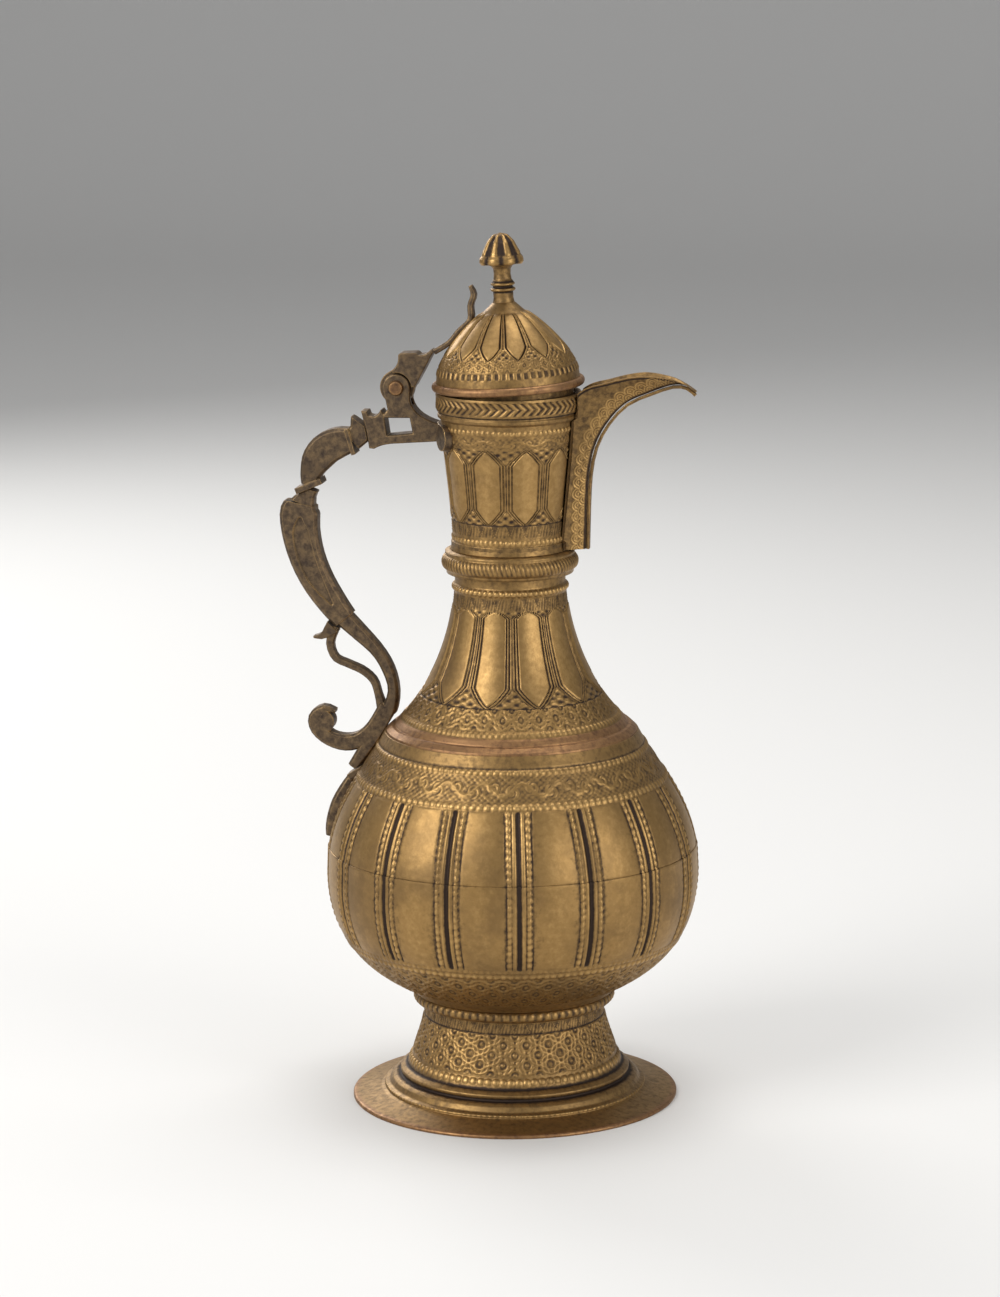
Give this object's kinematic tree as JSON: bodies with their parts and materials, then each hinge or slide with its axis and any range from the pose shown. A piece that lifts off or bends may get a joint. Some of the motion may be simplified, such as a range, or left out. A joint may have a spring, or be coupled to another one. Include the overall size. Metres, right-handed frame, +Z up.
{
  "type": "lidded ewer",
  "caption": "Cast and raised brass ewer with a fluted round belly, slender two-part neck, open beak spout, scroll handle and a hinged domed lid with a bud finial.",
  "frame": {"origin": "centre of the bounding box at the floor, under the foot flange; the body's axis is 9.1 mm toward +X from it", "axes": "+Z up along the body's axis, +X toward the spout, -X toward the handle, +Y across"},
  "size_m": [0.1677, 0.149, 0.3501],
  "materials": {
    "brass": "aged, worn bright on the edges",
    "dark_brass": "dark patina, worn edges",
    "red_brass": "reddish, aged"
  },
  "bodies": {
    "ewer": {"foot": "brass", "foot_ring": "brass", "lower_bowl": "brass", "shoulder_shell": "brass", "shoulder_ring": "red_brass", "neck_cone": "brass", "neck_collar": "brass", "upper_neck": "brass", "mouth_band": "brass", "spout_cheek_right": "brass", "spout_cheek_left": "brass", "spout_keel": "brass", "handle_bracket": "dark_brass", "handle_upper": "dark_brass", "handle_lower": "dark_brass", "handle_leaf": "dark_brass", "hinge_pin": "red_brass"},
    "lid": {"lid_rim": "brass", "lid_bezel": "brass", "lid_dome": "brass", "finial": "dark_brass", "finial_rove": "brass", "lid_lever": "dark_brass", "lid_strap": "dark_brass"}
  },
  "joints": [
    {"name": "lid_hinge", "type": "hinge", "parent": "ewer", "child": "lid", "pos_m": [-0.0353, 0, 0.2885], "axis": [0, -1, 0], "range_deg": [0, 108]}
  ]
}
